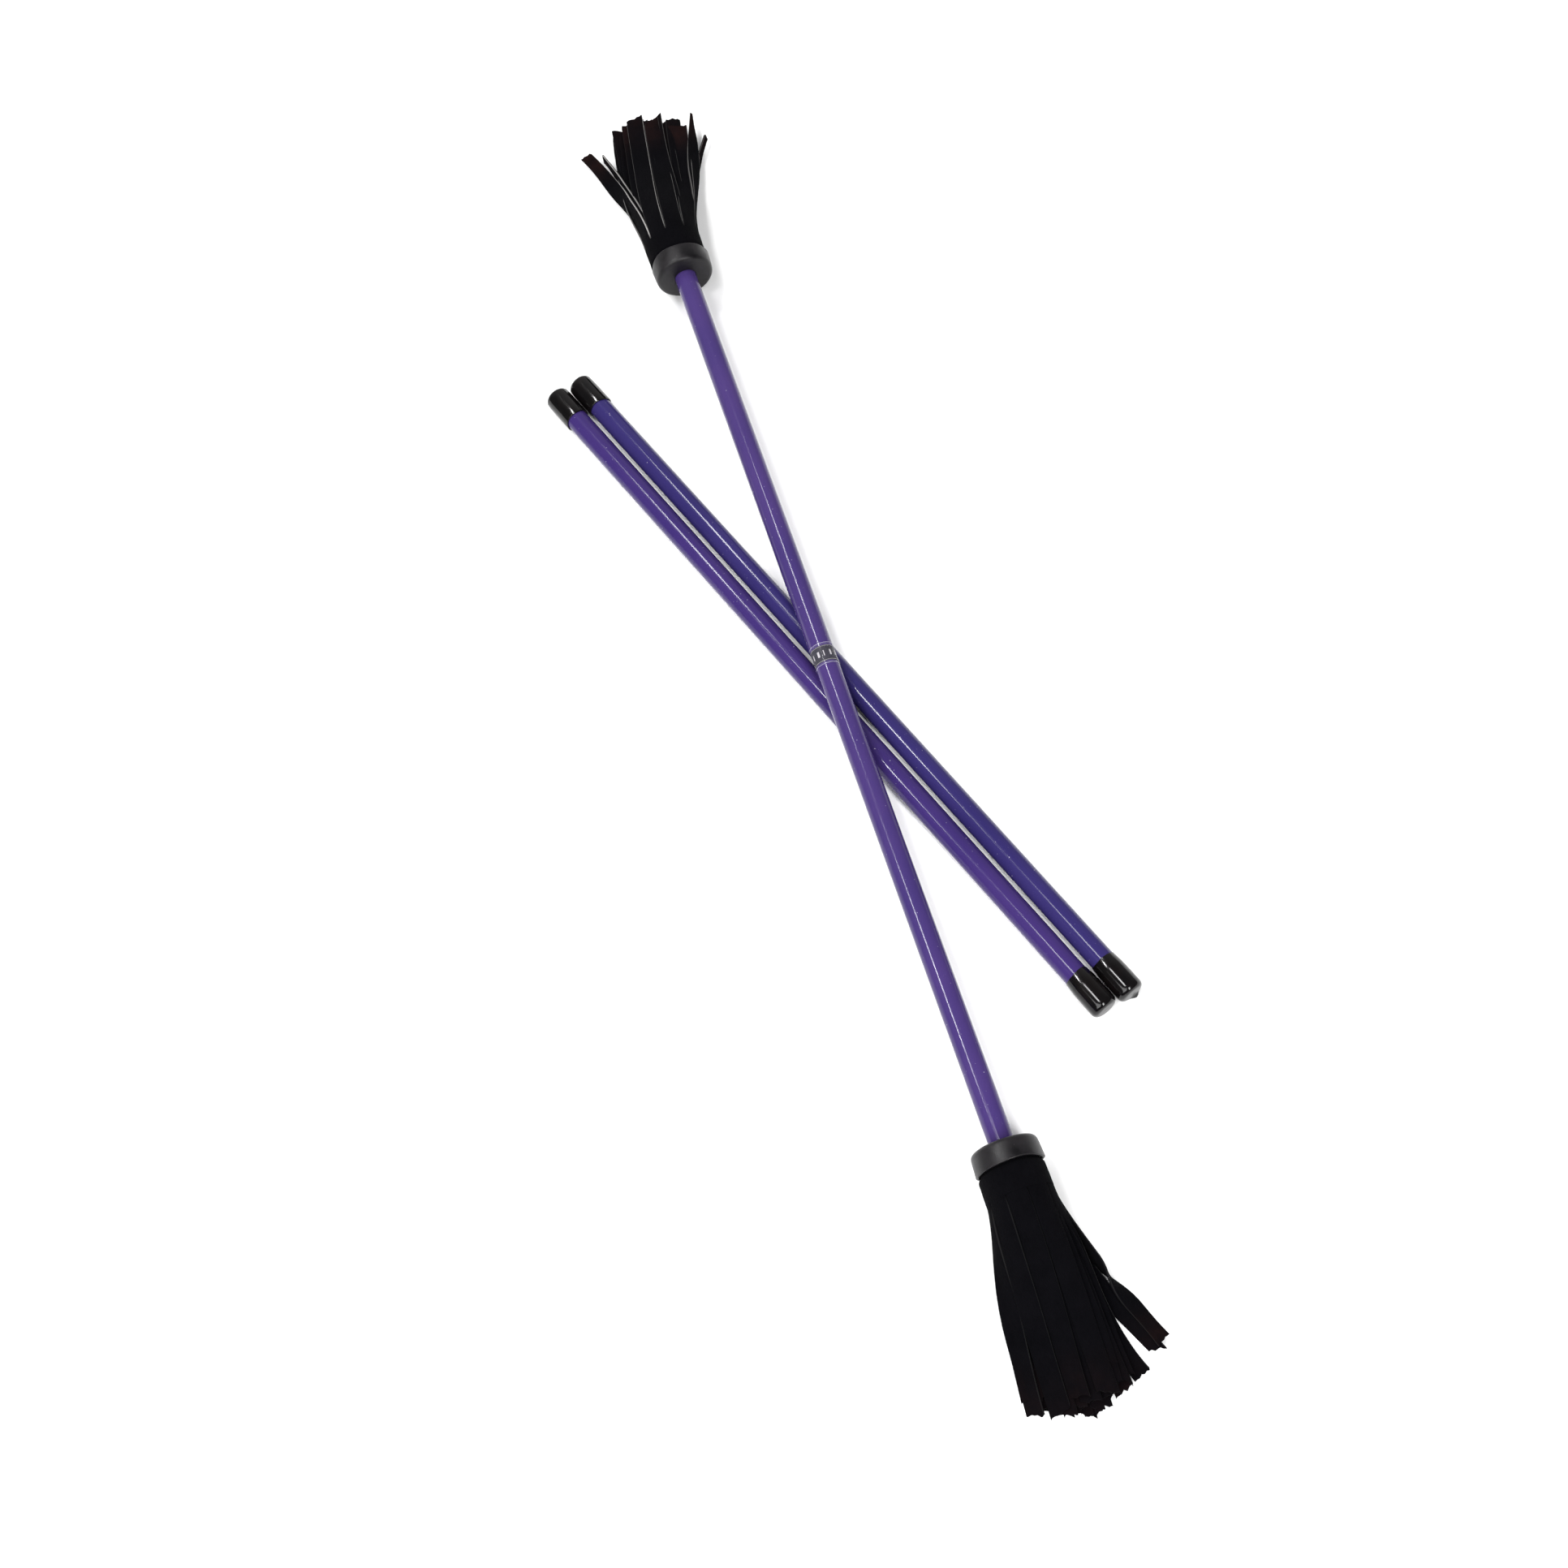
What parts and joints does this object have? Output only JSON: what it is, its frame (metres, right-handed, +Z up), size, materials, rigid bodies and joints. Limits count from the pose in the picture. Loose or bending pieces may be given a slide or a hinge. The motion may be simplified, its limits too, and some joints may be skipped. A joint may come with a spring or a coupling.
{
  "type": "focus training sticks",
  "caption": "Sleeved juggling baton with rubber-cupped suede tassels at its ends, lying across a pair of sleeved hand sticks with dipped caps.",
  "frame": {"origin": "bottom centre of the set's bounding box, on the table", "axes": "+Z up from the table, +Y along the baton towards its far tassel, +X to the right"},
  "size_m": [0.1824, 0.7642, 0.0363],
  "materials": {
    "purple_vinyl": "glossy extruded vinyl sleeve",
    "cap_vinyl": "glossy dip-moulded vinyl",
    "cup_rubber": "satin moulded rubber",
    "suede": "napped suede with pale cut edges",
    "hardwood": "plain turned dowel",
    "binding_tape": "woven cloth tape",
    "label_print": "printed wrap with plain pale stripes",
    "clear_film": "clear glossy film"
  },
  "bodies": {
    "left_hand_stick": {"left_hand_stick_core": "hardwood", "left_hand_stick_sleeve": "purple_vinyl", "left_hand_stick_near_cap": "cap_vinyl", "left_hand_stick_far_cap": "cap_vinyl"},
    "right_hand_stick": {"right_hand_stick_core": "hardwood", "right_hand_stick_sleeve": "purple_vinyl", "right_hand_stick_near_cap": "cap_vinyl", "right_hand_stick_far_cap": "cap_vinyl"},
    "near_tassel": {"near_strands": "suede"},
    "far_tassel": {"far_strands": "suede"},
    "baton": {"baton_core": "hardwood", "baton_sleeve": "purple_vinyl", "label_band": "label_print", "label_film": "clear_film", "near_cup": "cup_rubber", "far_cup": "cup_rubber", "near_roll": "suede", "far_roll": "suede", "near_binding": "binding_tape", "far_binding": "binding_tape"}
  },
  "joints": [
    {"name": "right_stick_slide", "type": "slide", "parent": "left_hand_stick", "child": "right_hand_stick", "axis": [0.9397, 0.342, 0], "range_m": [0, 0.05]},
    {"name": "baton_lift", "type": "slide", "parent": "left_hand_stick", "child": "baton", "axis": [0, 0, 1], "range_m": [0, 0.12]},
    {"name": "near_tassel_swing", "type": "hinge", "parent": "baton", "child": "near_tassel", "pos_m": [0.0035, -0.2841, 0.01977], "axis": [0, 0, 1], "range_deg": [-20, 20], "stiffness_Nm_per_rad": 0.05},
    {"name": "far_tassel_swing", "type": "hinge", "parent": "baton", "child": "far_tassel", "pos_m": [0.0035, 0.2741, 0.01977], "axis": [0, 0, 1], "range_deg": [-20, 20], "stiffness_Nm_per_rad": 0.05}
  ]
}
